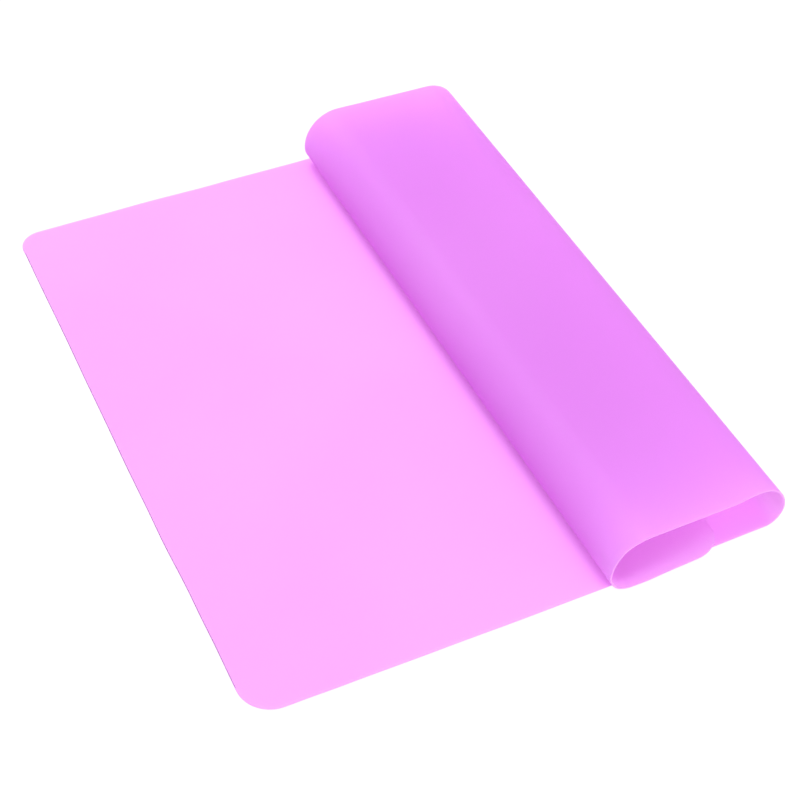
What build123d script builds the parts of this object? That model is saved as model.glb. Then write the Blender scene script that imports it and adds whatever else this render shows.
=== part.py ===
from build123d import *

import os
from math import cos, degrees, pi, radians, sin, tan

# A silicone baking mat, lying on a worktop with one end folded over and tucked under itself.
# It is one moulded sheet. Each node is the stretch of that sheet between two of its bending
# lines, and turns on a line of its own, which takes it from its place in the folded mat to
# its place in the flat one.
# Lengths are in millimetres. The stretches follow the underside of the sheet, which is the
# outer face of both bends, so they meet there when the mat is laid flat too.

# The sheet, laid flat
sheet_length = 400.0
sheet_width = 300.0
sheet_thickness = 0.8
corner_radius = 14.0

# The folded end, along its underside
fold_low_radius = 8.2
fold_high_radius = 16.7
top_length = 50.1
curl_low_radius = 9.0
tucked_length = 37.7
tuck_gap = 0.4

# Angles, in degrees: the slopes of the top layer and of the tucked end, and how far the
# bending lines are out of square with the sheet
top_rise = 3.5
tuck_rise = 7.5
fold_skew = -1.27

# Strips that a quarter turn is divided into
strips_per_quarter = 6

# How far a cut runs past what it cuts
overrun = 5.0

# Where along a strip its arc is drawn through
arc_shares = (0.0, 0.5, 1.0)

quarter = pi / 2
rise = radians(top_rise)
tuck = radians(tuck_rise)
skew = radians(fold_skew)

# The curl comes down from the end of the top layer to just above the lying layer
fold_height = fold_low_radius + fold_high_radius * cos(rise)
curl_height = fold_height + top_length * sin(rise) - sheet_thickness - tuck_gap
curl_high_radius = (curl_height - curl_low_radius) / cos(rise)


class Stretch:
    """A length of the sheet, flat or bent to one radius, in the upright plane across the fold.

    run is the distance along the sheet to its start, x and z that point on the underside,
    and heading the direction it sets off in, turned from +X towards +Z.
    """

    def __init__(self, name, run, x, z, heading, length, turn):
        self.name = name
        self.run = run
        self.x = x
        self.z = z
        self.heading = heading
        self.length = length
        self.turn = turn
        self.middle = heading + turn / 2

    def at(self, share, depth=0.0):
        """The point at a share of its length, depth above the underside."""
        heading = self.heading + share * self.turn
        if not self.turn:
            along = share * self.length
            x = self.x + along * cos(heading)
            z = self.z + along * sin(heading)
            return x - depth * sin(heading), z + depth * cos(heading)
        radius = self.length / self.turn
        centre_x = self.x - radius * sin(self.heading)
        centre_z = self.z + radius * cos(self.heading)
        return centre_x + (radius - depth) * sin(heading), centre_z - (radius - depth) * cos(heading)


def bend(name, quarters):
    """Name, length and turn of each strip of a bend, whose quarters are (radius, turn)."""
    strips = [(radius, turn) for radius, turn in quarters for _ in range(strips_per_quarter)]
    return [
        (f"{name}_{number:02d}", radius * turn / strips_per_quarter, turn / strips_per_quarter)
        for number, (radius, turn) in enumerate(strips, 1)
    ]


def plan():
    """Name, length and turn of each stretch, from the open edge of the mat to its tucked edge."""
    folded = bend("fold_bend", [(fold_low_radius, quarter), (fold_high_radius, quarter - rise)])
    folded += [("top_sheet", top_length, 0.0)]
    folded += bend("curl_bend", [(curl_high_radius, quarter + rise), (curl_low_radius, quarter + tuck)])
    folded += [("tucked_end", tucked_length, 0.0)]
    lying_length = sheet_length - sum(length for _, length, _ in folded)
    return [("lying_sheet", lying_length, 0.0)] + folded


def lay_out():
    """The planned stretches, each starting where the last one ends."""
    stretches = []
    run, x, z, heading = 0.0, 0.0, 0.0, 0.0
    for name, length, turn in plan():
        stretch = Stretch(name, run, x, z, heading, length, turn)
        stretches.append(stretch)
        run += length
        x, z = stretch.at(1)
        heading += turn
    return stretches


def flat_stretch(stretch):
    """A flat stretch: its part of the sheet's outline, as thick as the sheet."""
    outline = Rot(0, 0, fold_skew) * RectangleRounded(
        sheet_length, sheet_width, corner_radius, align=(Align.MIN, Align.MIN)
    )
    past_edge = overrun + sheet_width * abs(sin(skew))
    before = past_edge if stretch is course[0] else 0
    after = past_edge if stretch is course[-1] else 0
    band = Rectangle(
        before + stretch.length + after,
        (sheet_length + sheet_width + overrun) * 2,
        align=(Align.MIN, Align.CENTER),
    )
    cut = outline & (Pos(stretch.run - before, 0) * band)
    slab = Pos(-stretch.run, 0) * extrude(cut, sheet_thickness)
    lie = Plane(
        origin=(stretch.x, 0, stretch.z),
        x_dir=(cos(stretch.heading), 0, sin(stretch.heading)),
        z_dir=(-sin(stretch.heading), 0, cos(stretch.heading)),
    )
    return lie * slab


def bent_stretch(stretch):
    """A strip of a bend: a sector across the fold, run along the bending lines and trimmed."""
    outer = [Vector(x, 0, z) for x, z in (stretch.at(share) for share in arc_shares)]
    inner = [Vector(x, 0, z) for x, z in (stretch.at(share, sheet_thickness) for share in arc_shares)]
    sector = make_face(
        [
            ThreePointArc(*outer),
            Line(outer[-1], inner[-1]),
            ThreePointArc(*inner),
            Line(inner[0], outer[0]),
        ]
    )
    # The sheet's side edges drift along the bending lines, because the fold is out of square
    start = stretch.run * tan(skew)
    drift = stretch.length * tan(skew)
    span = sheet_width / cos(skew)
    low = min(start, start + drift) - overrun
    high = max(start, start + drift) + span + overrun
    strip = extrude(Pos(0, low, 0) * sector, high - low, dir=(0, 1, 0))
    near = outer[0] + Vector(0, start, 0)
    far = near + Vector(0, span, 0)
    edge = outer[-1] - outer[0] + Vector(0, drift, 0)
    inward = Vector(-sin(stretch.middle), 0, cos(stretch.middle)).cross(edge)
    strip = split(strip, bisect_by=Plane(origin=near, z_dir=inward), keep=Keep.TOP)
    return split(strip, bisect_by=Plane(origin=far, z_dir=-inward), keep=Keep.TOP)


def carriers():
    """Each stretch that turns, with the flat stretch that carries it.

    The lying sheet carries the top sheet, which carries the tucked end. Each half of a bend is
    carried by the flat stretch that it runs into.
    """
    flats = [stretch for stretch in course if not stretch.turn]
    pairs = list(zip(flats, flats[1:]))
    for carrier, flat in zip(flats, flats[1:]):
        strips = course[course.index(carrier) + 1 : course.index(flat)]
        pairs += [(carrier, strip) for strip in strips[:strips_per_quarter]]
        pairs += [(flat, strip) for strip in strips[strips_per_quarter:]]
    return pairs


def turning_line(carrier, stretch):
    """A point on the line that a stretch turns on, halfway across it, and the turn in degrees.

    The turn takes the stretch's start to its place on its carrier's level.
    """
    turn = stretch.middle - carrier.middle
    level_x, level_z = carrier.at((stretch.run - carrier.run) / carrier.length)
    lean = 2 * tan(turn / 2)
    x = (stretch.x + level_x) / 2 + (level_z - stretch.z) / lean
    z = (stretch.z + level_z) / 2 - (level_x - stretch.x) / lean
    point = place * Pos(x, stretch.run * tan(skew) + sheet_width / 2, z)
    return point.position, degrees(turn)


course = lay_out()
solids = {s.name: bent_stretch(s) if s.turn else flat_stretch(s) for s in course}

# The mat's edges run along X and Y, and it stands centred on the origin
square = Rot(0, 0, -fold_skew)
whole = Compound(children=[square * solid for solid in solids.values()])
centre = whole.bounding_box().center()
place = Pos(-centre.X, -centre.Y, 0) * square

os.makedirs("parts", exist_ok=True)
for name, solid in solids.items():
    node = place * solid
    node.label = name
    export_step(node, f"parts/{name}.step")

print("Turning lines: carrier, stretch, point in mm, turn in degrees")
for carrier, stretch in carriers():
    point, turn = turning_line(carrier, stretch)
    print(carrier.name, stretch.name, [round(value, 3) for value in point], round(turn, 3))
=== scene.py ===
from math import cos, hypot, pi, radians, sin, tan

import bpy
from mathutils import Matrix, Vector


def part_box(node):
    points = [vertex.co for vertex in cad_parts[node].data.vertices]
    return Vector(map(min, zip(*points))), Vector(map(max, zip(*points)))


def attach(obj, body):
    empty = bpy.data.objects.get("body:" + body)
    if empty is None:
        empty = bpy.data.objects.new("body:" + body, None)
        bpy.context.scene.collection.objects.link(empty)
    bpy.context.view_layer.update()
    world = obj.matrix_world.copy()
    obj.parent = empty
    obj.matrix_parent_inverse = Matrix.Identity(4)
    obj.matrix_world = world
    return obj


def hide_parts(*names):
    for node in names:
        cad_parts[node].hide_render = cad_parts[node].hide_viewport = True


# A silicone baking mat with its right-hand end folded over and tucked under. The sheet's sizes
# are in millimetres and become metres where a mesh gets its place. The floor, the lamps and the
# camera are in metres.

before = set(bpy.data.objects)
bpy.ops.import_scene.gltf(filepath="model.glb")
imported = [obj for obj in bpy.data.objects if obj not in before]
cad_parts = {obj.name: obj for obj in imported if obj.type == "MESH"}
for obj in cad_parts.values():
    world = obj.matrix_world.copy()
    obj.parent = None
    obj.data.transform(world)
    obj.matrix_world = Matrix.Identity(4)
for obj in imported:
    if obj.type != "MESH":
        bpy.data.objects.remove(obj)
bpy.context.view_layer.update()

MM = 0.001

# The sheet, laid flat. Its corners differ a little, as the real sheet's do.
SHEET_LENGTH = 400.0
SHEET_WIDTH = 300.0
SHEET_THICKNESS = 0.8
NEAR_CORNER_RADIUS = 14.0
FAR_CORNER_RADIUS = 11.0
TUCKED_CORNER_RADIUS = 10.0
EDGE_ROUNDING = 0.22

# The folded end, along its underside
FOLD_LOW_RADIUS = 8.2
FOLD_HIGH_RADIUS = 16.7
TOP_LENGTH = 50.1
CURL_LOW_RADIUS = 9.0
TUCKED_LENGTH = 37.7
TUCK_GAP = 0.4
TOP_RISE = radians(3.5)
TUCK_RISE = radians(7.5)
SKEW = radians(-1.27)
STRIPS_PER_QUARTER = 6

# How finely the sheet is divided: across it, along its flat stretches, round its bends, round
# its corners and round its moulded edges
ROW_SPACING = 4.0
COLUMN_SPACING = 4.0
DEGREES_A_COLUMN = 1.3
FEWEST_COLUMNS = 4
CORNER_COLUMNS = 14
ROUNDING_STEPS = 3

# A point this near to an edge counts as on it
NEARNESS = 0.01

# Faces that meet at less than this angle are shaded as one surface
SMOOTH_ANGLE = radians(50)

# An edge is sharp where the normals of its two faces have a smaller product than this
SHARP_PRODUCT = 0.5


class Stretch:
    """A length of the sheet, flat or bent to one radius, in the upright plane across the fold.

    run is the distance along the sheet to its start, x and z that point on the underside, and
    heading the direction it sets off in, turned from +X towards +Z.
    """

    def __init__(self, name, run, x, z, heading, length, turn):
        self.name = name
        self.run = run
        self.x = x
        self.z = z
        self.heading = heading
        self.length = length
        self.turn = turn

    def at(self, share, depth=0.0):
        """The point at a share of its length, depth above the underside."""
        heading = self.heading + share * self.turn
        if not self.turn:
            along = share * self.length
            return (
                self.x + along * cos(heading) - depth * sin(heading),
                self.z + along * sin(heading) + depth * cos(heading),
            )
        radius = self.length / self.turn
        return (
            self.x - radius * sin(self.heading) + (radius - depth) * sin(heading),
            self.z + radius * cos(self.heading) - (radius - depth) * cos(heading),
        )


def bend(name, quarters):
    """Name, length and turn of each strip of a bend, whose quarters are (radius, turn)."""
    strips = [(radius, turn) for radius, turn in quarters for _ in range(STRIPS_PER_QUARTER)]
    return [
        (f"{name}_{number:02d}", radius * turn / STRIPS_PER_QUARTER, turn / STRIPS_PER_QUARTER)
        for number, (radius, turn) in enumerate(strips, 1)
    ]


def lay_out():
    """The stretches, from the open edge to the tucked one, each starting where the last ends."""
    fold_height = FOLD_LOW_RADIUS + FOLD_HIGH_RADIUS * cos(TOP_RISE)
    curl_height = fold_height + TOP_LENGTH * sin(TOP_RISE) - SHEET_THICKNESS - TUCK_GAP
    curl_high_radius = (curl_height - CURL_LOW_RADIUS) / cos(TOP_RISE)
    fold_quarters = [(FOLD_LOW_RADIUS, pi / 2), (FOLD_HIGH_RADIUS, pi / 2 - TOP_RISE)]
    curl_quarters = [(curl_high_radius, pi / 2 + TOP_RISE), (CURL_LOW_RADIUS, pi / 2 + TUCK_RISE)]
    folded = bend("fold_bend", fold_quarters)
    folded += [("top_sheet", TOP_LENGTH, 0.0)]
    folded += bend("curl_bend", curl_quarters)
    folded += [("tucked_end", TUCKED_LENGTH, 0.0)]
    lying = SHEET_LENGTH - sum(length for _, length, _ in folded)
    stretches = []
    run, x, z, heading = 0.0, 0.0, 0.0, 0.0
    for name, length, turn in [("lying_sheet", lying, 0.0)] + folded:
        stretches.append(Stretch(name, run, x, z, heading, length, turn))
        x, z = stretches[-1].at(1)
        run += length
        heading += turn
    return stretches


COURSE = lay_out()
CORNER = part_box("lying_sheet")[0]


# Materials

class Sum:
    """A socket of a material that arithmetic can be done on, where it holds a value."""

    def __init__(self, build, socket):
        self.build = build
        self.socket = socket

    def _math(self, operation, *values):
        return self.build.node("ShaderNodeMath", {"operation": operation}, values)

    def __add__(self, other):
        return self._math("ADD", self, other)

    def __radd__(self, other):
        return self._math("ADD", other, self)

    def __rsub__(self, other):
        return self._math("SUBTRACT", other, self)

    def __mul__(self, other):
        return self._math("MULTIPLY", self, other)

    def __rmul__(self, other):
        return self._math("MULTIPLY", other, self)

    def clamped(self):
        return self._math("MAXIMUM", self._math("MINIMUM", self, 1.0), 0.0)

    def smooth(self, low, high):
        """0 below low, 1 above high and a soft ramp between them."""
        return self.build.node(
            "ShaderNodeMapRange",
            {"interpolation_type": "SMOOTHSTEP"},
            {"Value": self, "From Min": low, "From Max": high},
        )


class Build:
    """Makes the nodes of one material, or of the world."""

    def __init__(self, owner):
        self.owner = owner
        owner.use_nodes = True
        self.tree = owner.node_tree
        self.tree.nodes.clear()

    def node(self, kind, settings=None, values=None, output=0):
        """A new node with its settings and with the values or links of its inputs."""
        made = self.tree.nodes.new(kind)
        for key, value in (settings or {}).items():
            setattr(made, key, value)
        values = values or {}
        pairs = values.items() if isinstance(values, dict) else enumerate(values)
        for key, value in pairs:
            if isinstance(value, Sum):
                self.tree.links.new(value.socket, made.inputs[key])
            else:
                made.inputs[key].default_value = value
        return Sum(self, made.outputs[output]) if made.outputs else None

    def mix(self, factor, first, second):
        """The colour between two others."""
        values = {0: factor, 6: first, 7: second}
        return self.node("ShaderNodeMix", {"data_type": "RGBA"}, values, output=2)

    def noise(self, place, scale, detail, roughness):
        """Soft random values, whose largest spots are about 1 / scale metres."""
        return self.node(
            "ShaderNodeTexNoise",
            {},
            {"Vector": place, "Scale": scale, "Detail": detail, "Roughness": roughness},
        )

    def show(self, surface):
        """Ends the material in what its surface shows, and returns it."""
        self.node("ShaderNodeOutputMaterial", {}, {"Surface": surface})
        return self.owner


def linear(red, green, blue):
    """A colour as a picture program writes it, 0 to 255, in the light that the shader works in."""
    shares = [value / 255 for value in (red, green, blue)]
    light = [v / 12.92 if v <= 0.04045 else ((v + 0.055) / 1.055) ** 2.4 for v in shares]
    return tuple(light) + (1.0,)


def silicone(name, skin_colours, milk, seen_through):
    """Thin milky silicone: a satin skin that lets about half the light through, spread evenly, so
    that it looks pale on a white worktop and deeper where it stands off it in layers.

    It has two skin colours that drift into each other. milk is the colour of the light that
    comes through, and seen_through its share.
    """
    build = Build(bpy.data.materials.new(name))
    place = build.node("ShaderNodeTexCoord", output="Object")
    mottle = build.noise(place, scale=9.0, detail=2.0, roughness=0.5)
    grain = build.noise(place, scale=1400.0, detail=2.0, roughness=0.6)
    satin = build.noise(place, scale=40.0, detail=3.0, roughness=0.55)
    bump = build.node(
        "ShaderNodeBump", {}, {"Strength": 0.12, "Distance": 0.0002, "Height": grain}
    )
    skin = build.node(
        "ShaderNodeBsdfPrincipled",
        {},
        {
            "Base Color": build.mix(mottle.smooth(0.35, 0.65), *skin_colours),
            "Roughness": 0.5 + 0.14 * satin,
            "Specular IOR Level": 0.3,
            "Normal": bump,
        },
    )
    through = build.node("ShaderNodeBsdfTranslucent", {}, {"Color": milk, "Normal": bump})
    return build.show(build.node("ShaderNodeMixShader", {}, [seen_through, skin, through]))


def joined_face():
    """Where two stretches of the one sheet join there is no surface, so nothing shows."""
    build = Build(bpy.data.materials.new("lilac_silicone_within"))
    clear = {"Base Color": linear(253, 215, 255), "Alpha": 0.0}
    return build.show(build.node("ShaderNodeBsdfPrincipled", {}, clear))


UPPER = silicone(
    "lilac_silicone_upper",
    (linear(255, 190, 252), linear(253, 186, 251)),
    milk=(1.0, 0.84, 0.97, 1),
    seen_through=0.55,
)
# The face that the sheet lies on turns up as the outside of the fold. Its skin colours and milk are
# deeper and more violet than the upper face's. This is painted shade, so that the folded layers
# render darker and more violet than the lying sheet.
UNDER = silicone(
    "lilac_silicone_under_painted_shade",
    (linear(238, 169, 255), linear(236, 165, 254)),
    milk=(1.0, 0.61, 1.0, 1),
    seen_through=0.56,
)
# The cut edge has a paler skin than the faces. This is painted light, standing in for the glow of
# light through the edge, so that the edge shows as a bright line.
RIM = silicone(
    "lilac_silicone_rim_painted_light",
    (linear(253, 198, 254), linear(251, 194, 252)),
    milk=(0.97, 0.70, 1.0, 1),
    seen_through=0.60,
)
WITHIN = joined_face()
SKINS = (UPPER, RIM, WITHIN, UNDER)
UPPER_SLOT, RIM_SLOT, WITHIN_SLOT, UNDER_SLOT = range(4)


# The sheet

# How far the real sheet's edges lie off a true rectangle: a place on the sheet and the shift
# there. The open edge and the tucked edge shift along the sheet, the other two across it.
OPEN_EDGE = (
    (0, 2.6), (30, 2.4), (60, 1.9), (100, 0.8), (150, 0.2), (210, -0.2), (285, -0.9), (300, -1.8),
)
TUCKED_EDGE = ((0, 4.4), (14, 4.0), (30, 3.0), (70, 1.2), (150, 0.0), (300, 0.0))
NEAR_EDGE = (
    (0, 0.7), (20, 0.3), (40, 0.0), (80, -0.4), (120, -0.8), (200, -0.9), (228, -0.6),
    (242, 0.2), (255, 0.9), (268, 0.5), (280, -0.5), (318, -0.7), (334, 0.2), (346, 0.0),
    (356, -0.8), (372, -1.8), (400, -2.6),
)
FAR_EDGE = (
    (0, 1.2), (60, 0.6), (100, -0.6), (150, -1.5), (200, -2.3), (225, -1.6), (245, -0.3),
    (265, 0.2), (290, 0.4), (315, 0.7), (345, 0.2), (400, -0.6),
)

# How far into the tucked end its own edge's shift starts
TUCKED_SHIFT_START = 10.0


def shift(stops, place):
    """The shift at a place, eased from one stop to the next."""
    place = min(max(place, stops[0][0]), stops[-1][0])
    for (start, before), (end, after) in zip(stops, stops[1:]):
        if place <= end:
            share = (place - start) / (end - start)
            return before + (after - before) * share * share * (3 - 2 * share)


def settle(along, across):
    """A point of a true sheet, moved to where it lies on the real one."""
    inner = COURSE[0].length
    tucked = COURSE[-1]
    share = across / SHEET_WIDTH
    sideways = (1 - share) * shift(NEAR_EDGE, along) + share * shift(FAR_EDGE, along)
    if along < inner:
        along += (1 - along / inner) * shift(OPEN_EDGE, across)
    elif along > tucked.run + TUCKED_SHIFT_START:
        past = (along - tucked.run - TUCKED_SHIFT_START) / (tucked.length - TUCKED_SHIFT_START)
        along += past * past * shift(TUCKED_EDGE, across)
    return along, across + sideways


def corner_radii(stretch):
    """The radii of a stretch's near and far corners."""
    if stretch is COURSE[-1]:
        return TUCKED_CORNER_RADIUS, TUCKED_CORNER_RADIUS
    return NEAR_CORNER_RADIUS, FAR_CORNER_RADIUS


def outline(stretch, u, v):
    """Where a grid point lies on the flat sheet, along and across it, in millimetres.

    u is the share of the way from the stretch's first bending line, or open edge, to its last,
    and v is the share of the way across. The grid narrows into the rounded corners.
    """
    first = stretch is COURSE[0]
    last = stretch is COURSE[-1]
    across = v * SHEET_WIDTH
    if not first and not last:
        start = bending_line(stretch.run, across)
        end = bending_line(stretch.run + stretch.length, across)
        return start + u * (end - start), across
    near_radius, far_radius = corner_radii(stretch)
    radius = near_radius + v * (far_radius - near_radius)
    corner = CORNER_COLUMNS / columns(stretch)
    from_edge = u if first else 1 - u
    if from_edge < corner:
        swing = from_edge / corner * pi / 2
        inset = radius * (1 - cos(swing))
        narrow = 1 - sin(swing)
        across = near_radius * narrow + v * (SHEET_WIDTH - (near_radius + far_radius) * narrow)
    else:
        if first:
            reach = bending_line(stretch.length, across)
        else:
            reach = SHEET_LENGTH - bending_line(stretch.run, across)
        inset = radius + (from_edge - corner) / (1 - corner) * (reach - radius)
    return (inset if first else SHEET_LENGTH - inset), across


def bending_line(run, across):
    """How far along the sheet a bending line lies, at a place across it."""
    return run / cos(SKEW) + across * tan(SKEW)


def columns(stretch):
    """How many columns a stretch's grid has."""
    if stretch.turn:
        return max(FEWEST_COLUMNS, round(stretch.turn * 180 / pi / DEGREES_A_COLUMN))
    count = max(FEWEST_COLUMNS, round(stretch.length / COLUMN_SPACING))
    return count + (CORNER_COLUMNS if stretch in (COURSE[0], COURSE[-1]) else 0)


def fold(stretch, along, across, depth):
    """A point of the flat sheet in its place in the folded mat, in metres."""
    along, across = settle(along, across)
    run = along * cos(SKEW) - across * sin(SKEW)
    side = along * sin(SKEW) + across * cos(SKEW)
    x, z = stretch.at((run - stretch.run) / stretch.length, depth)
    return Vector(
        (
            CORNER.x + (x * cos(SKEW) + side * sin(SKEW)) * MM,
            CORNER.y + (side * cos(SKEW) - x * sin(SKEW)) * MM,
            z * MM,
        )
    )


def make_stretch(stretch):
    """One stretch of the mat: a flat grid, thickened, its rim rounded, and bent to its place."""
    bpy.ops.object.select_all(action="DESELECT")
    bpy.ops.mesh.primitive_grid_add(
        x_subdivisions=columns(stretch), y_subdivisions=round(SHEET_WIDTH / ROW_SPACING), size=2
    )
    piece = bpy.context.object
    piece.name = piece.data.name = stretch.name + "_skin"
    for vertex in piece.data.vertices:
        u, v = (vertex.co.x + 1) / 2, (vertex.co.y + 1) / 2
        along, across = outline(stretch, u, v)
        vertex.co = (along, across, 0)
    for material in SKINS:
        piece.data.materials.append(material)
    wall = piece.modifiers.new("wall", "SOLIDIFY")
    wall.thickness = SHEET_THICKNESS
    wall.offset = 1
    wall.material_offset_rim = RIM_SLOT - UPPER_SLOT
    bpy.ops.object.modifier_apply(modifier=wall.name)
    round_rim(stretch, piece)
    for face in piece.data.polygons:
        ends = [piece.data.vertices[number].co for number in face.vertices]
        # The rim faces take the rim material, whose paler skin is painted light
        upright = face.material_index == RIM_SLOT
        if upright and not all(on_rim(stretch, end, EDGE_ROUNDING) for end in ends):
            face.material_index = WITHIN_SLOT
        # The faces that the sheet lies on take the under material, whose deeper colours are painted
        # shade
        elif all(end.z < EDGE_ROUNDING / 2 for end in ends):
            face.material_index = UNDER_SLOT
    for vertex in piece.data.vertices:
        vertex.co = fold(stretch, vertex.co.x, vertex.co.y, vertex.co.z)
    bpy.ops.object.shade_smooth_by_angle(angle=SMOOTH_ANGLE)
    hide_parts(stretch.name)
    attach(piece, stretch.name)


def on_rim(stretch, point, within=0.0):
    """Whether a point of the flat sheet is on its moulded rim, and not on a bending line."""
    along, across = point.x, point.y
    side = min(across, SHEET_WIDTH - across)
    radius = corner_radii(stretch)[0 if side == across else 1]
    within += NEARNESS
    if side < within:
        return True
    if stretch is COURSE[0] and along < radius:
        near = along
    elif stretch is COURSE[-1] and along > SHEET_LENGTH - radius:
        near = SHEET_LENGTH - along
    else:
        return False
    if near < within:
        return True
    if side > radius:
        return False
    return abs(hypot(radius - near, radius - side) - radius) < within


def round_rim(stretch, piece):
    """Rounds the two long edges of the moulded rim."""
    mesh = piece.data
    bpy.ops.object.mode_set(mode="EDIT")
    bpy.ops.mesh.select_all(action="DESELECT")
    bpy.ops.mesh.select_mode(type="EDGE")
    bpy.ops.object.mode_set(mode="OBJECT")
    uses = {}
    for face in mesh.polygons:
        for key in face.edge_keys:
            uses.setdefault(key, []).append(face.normal)
    for edge in mesh.edges:
        ends = [mesh.vertices[number].co for number in edge.vertices]
        level = abs(ends[0].z - ends[1].z) < NEARNESS
        normals = uses[tuple(sorted(edge.vertices))]
        sharp = len(normals) == 2 and normals[0].dot(normals[1]) < SHARP_PRODUCT
        edge.select = level and sharp and all(on_rim(stretch, end) for end in ends)
    bpy.ops.object.mode_set(mode="EDIT")
    bpy.ops.mesh.bevel(offset=EDGE_ROUNDING, segments=ROUNDING_STEPS, affect="EDGES")
    bpy.ops.object.mode_set(mode="OBJECT")


for part in COURSE:
    make_stretch(part)


# Floor, light and camera. The worktop's own light stands in for what a large white sweep throws
# up from all round. The floor lies just below the mat, and shows whiter than its colour to the eye.

FLOOR_SIZE = 6
FLOOR_DROP = 0.0003
FLOOR_WHITE = 0.93
FLOOR_LIGHT = 0.42
FLOOR_SEEN_WHITE = 0.85
SKY_COLOUR = (0.9, 0.94, 1, 1)
SKY_STRENGTH = 0.54
WHITE = (1, 1, 1, 1)

# Name, place and power in watts of each lamp. Both are discs this wide that face the mat.
LAMP_SIZE = 0.9
LAMPS = (
    ("far_window", (-0.1, 1.0, 1.35), 17.5),
    ("near_window", (0.15, -1.2, 1.0), 9.0),
)

# The photograph's camera: its focal length in pixels of a frame this wide, how far it looks down
# and to the right, how far it is from the point that it looks at, and that point
FRAME_PIXELS = 800
FOCAL_PIXELS = 1733.9
PITCH = radians(46.783)
YAW = radians(24.54)
DISTANCE = 0.76422
TARGET = (0.003406, -0.020564, 0.0)

# The width of the sensor that Blender reckons focal lengths by, in millimetres
SENSOR_WIDTH = 36.0


def seen_itself(build):
    """1 for a ray that shows the background itself, to the eye, in a shine or through glass."""
    path = build.tree.nodes.new("ShaderNodeLightPath")
    eye, shine, spread, through = (
        Sum(build, path.outputs[f"Is {kind} Ray"])
        for kind in ("Camera", "Glossy", "Diffuse", "Transmission")
    )
    return (eye + shine + through * (1 - spread)).clamped()


def make_floor():
    bpy.ops.object.select_all(action="DESELECT")
    bpy.ops.mesh.primitive_plane_add(size=FLOOR_SIZE, location=(0, 0, -FLOOR_DROP))
    floor = bpy.context.object
    floor.name = "floor"
    build = Build(bpy.data.materials.new("white_worktop"))
    plain = build.node("ShaderNodeBsdfDiffuse", {}, {"Color": (FLOOR_WHITE,) * 3 + (1,)})
    lit = build.node("ShaderNodeEmission", {}, {"Color": WHITE, "Strength": FLOOR_LIGHT})
    plain = build.node("ShaderNodeAddShader", {}, [plain, lit])
    glow = build.node("ShaderNodeEmission", {}, {"Color": WHITE, "Strength": 1.0})
    seen = seen_itself(build) * FLOOR_SEEN_WHITE
    shown = build.show(build.node("ShaderNodeMixShader", {}, [seen, plain, glow]))
    floor.data.materials.append(shown)


def make_world():
    build = Build(bpy.data.worlds.new("room"))
    bpy.context.scene.world = build.owner
    dim = build.node("ShaderNodeBackground", {}, {"Color": SKY_COLOUR, "Strength": SKY_STRENGTH})
    white = build.node("ShaderNodeBackground", {}, {"Color": WHITE, "Strength": 1.0})
    shown = build.node("ShaderNodeMixShader", {}, [seen_itself(build), dim, white])
    build.node("ShaderNodeOutputWorld", {}, {"Surface": shown})


def make_lamp(name, place, power):
    lamp = bpy.data.lights.new(name, "AREA")
    lamp.shape = "DISK"
    lamp.size = LAMP_SIZE
    lamp.energy = power
    holder = bpy.data.objects.new(name, lamp)
    bpy.context.scene.collection.objects.link(holder)
    holder.location = place
    holder.rotation_euler = (-Vector(place)).to_track_quat("-Z", "Y").to_euler()


def make_camera():
    ahead = Vector((sin(YAW) * cos(PITCH), cos(YAW) * cos(PITCH), -sin(PITCH)))
    data = bpy.data.cameras.new("camera")
    data.sensor_width = SENSOR_WIDTH
    data.lens = FOCAL_PIXELS / FRAME_PIXELS * SENSOR_WIDTH
    camera = bpy.data.objects.new("camera", data)
    bpy.context.scene.collection.objects.link(camera)
    camera.location = Vector(TARGET) - ahead * DISTANCE
    camera.rotation_euler = (pi / 2 - PITCH, 0, -YAW)
    bpy.context.scene.camera = camera


make_floor()
make_world()
for lamp in LAMPS:
    make_lamp(*lamp)
make_camera()
bpy.context.scene.view_settings.view_transform = "Standard"
